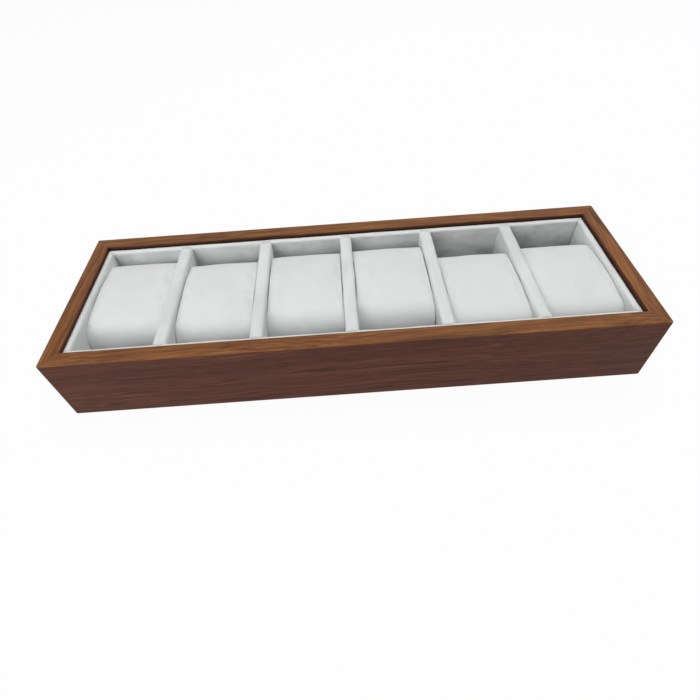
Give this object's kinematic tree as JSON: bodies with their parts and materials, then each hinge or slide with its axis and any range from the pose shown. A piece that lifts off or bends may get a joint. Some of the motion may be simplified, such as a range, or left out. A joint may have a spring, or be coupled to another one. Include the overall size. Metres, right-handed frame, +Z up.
{
  "type": "watch display tray",
  "caption": "Shallow open wooden tray with mitred rails and a velvet-wrapped liner, divided by low partitions into a row of compartments that each hold a removable soft watch pillow.",
  "frame": {"origin": "middle of the case's footprint, on the surface that the tray stands on", "axes": "+X along the tray to the right, +Y from front to back, +Z up"},
  "size_m": [0.33, 0.109, 0.0438],
  "materials": {
    "walnut": "satin open-grain walnut",
    "plywood": "raw plywood",
    "board": "raw fibreboard",
    "felt": "dark felt",
    "velvet": "short-pile velvet, pale cool grey",
    "padding": "firm foam and wadding"
  },
  "bodies": {
    "case": {"front_rail": "walnut", "right_rail": "walnut", "back_rail": "walnut", "left_rail": "walnut", "mitre_spline_front_left": "plywood", "mitre_spline_front_right": "plywood", "mitre_spline_back_right": "plywood", "mitre_spline_back_left": "plywood", "base_panel": "plywood", "underside_felt": "felt"},
    "liner": {"liner_floor_board": "board", "liner_floor_velvet": "velvet", "rim_board_front": "board", "rim_velvet_front": "velvet", "rim_board_right": "board", "rim_velvet_right": "velvet", "rim_board_back": "board", "rim_velvet_back": "velvet", "rim_board_left": "board", "rim_velvet_left": "velvet", "partition_board_1": "board", "partition_velvet_1": "velvet", "partition_board_2": "board", "partition_velvet_2": "velvet", "partition_board_3": "board", "partition_velvet_3": "velvet", "partition_board_4": "board", "partition_velvet_4": "velvet", "partition_board_5": "board", "partition_velvet_5": "velvet"},
    "pillow_1": {"pillow_1_core": "padding", "pillow_1_cover": "velvet", "pillow_1_left_end": "velvet", "pillow_1_right_end": "velvet"},
    "pillow_2": {"pillow_2_core": "padding", "pillow_2_cover": "velvet", "pillow_2_left_end": "velvet", "pillow_2_right_end": "velvet"},
    "pillow_3": {"pillow_3_core": "padding", "pillow_3_cover": "velvet", "pillow_3_left_end": "velvet", "pillow_3_right_end": "velvet"},
    "pillow_4": {"pillow_4_core": "padding", "pillow_4_cover": "velvet", "pillow_4_left_end": "velvet", "pillow_4_right_end": "velvet"},
    "pillow_5": {"pillow_5_core": "padding", "pillow_5_cover": "velvet", "pillow_5_left_end": "velvet", "pillow_5_right_end": "velvet"},
    "pillow_6": {"pillow_6_core": "padding", "pillow_6_cover": "velvet", "pillow_6_left_end": "velvet", "pillow_6_right_end": "velvet"}
  },
  "joints": [
    {"name": "liner_lift", "type": "slide", "parent": "case", "child": "liner", "axis": [0, 0, 1], "range_m": [0, 0.045]},
    {"name": "pillow_1_lift", "type": "slide", "parent": "liner", "child": "pillow_1", "axis": [0, 0, 1], "range_m": [0, 0.04]},
    {"name": "pillow_2_lift", "type": "slide", "parent": "liner", "child": "pillow_2", "axis": [0, 0, 1], "range_m": [0, 0.04]},
    {"name": "pillow_3_lift", "type": "slide", "parent": "liner", "child": "pillow_3", "axis": [0, 0, 1], "range_m": [0, 0.04]},
    {"name": "pillow_4_lift", "type": "slide", "parent": "liner", "child": "pillow_4", "axis": [0, 0, 1], "range_m": [0, 0.04]},
    {"name": "pillow_5_lift", "type": "slide", "parent": "liner", "child": "pillow_5", "axis": [0, 0, 1], "range_m": [0, 0.04]},
    {"name": "pillow_6_lift", "type": "slide", "parent": "liner", "child": "pillow_6", "axis": [0, 0, 1], "range_m": [0, 0.04]}
  ]
}
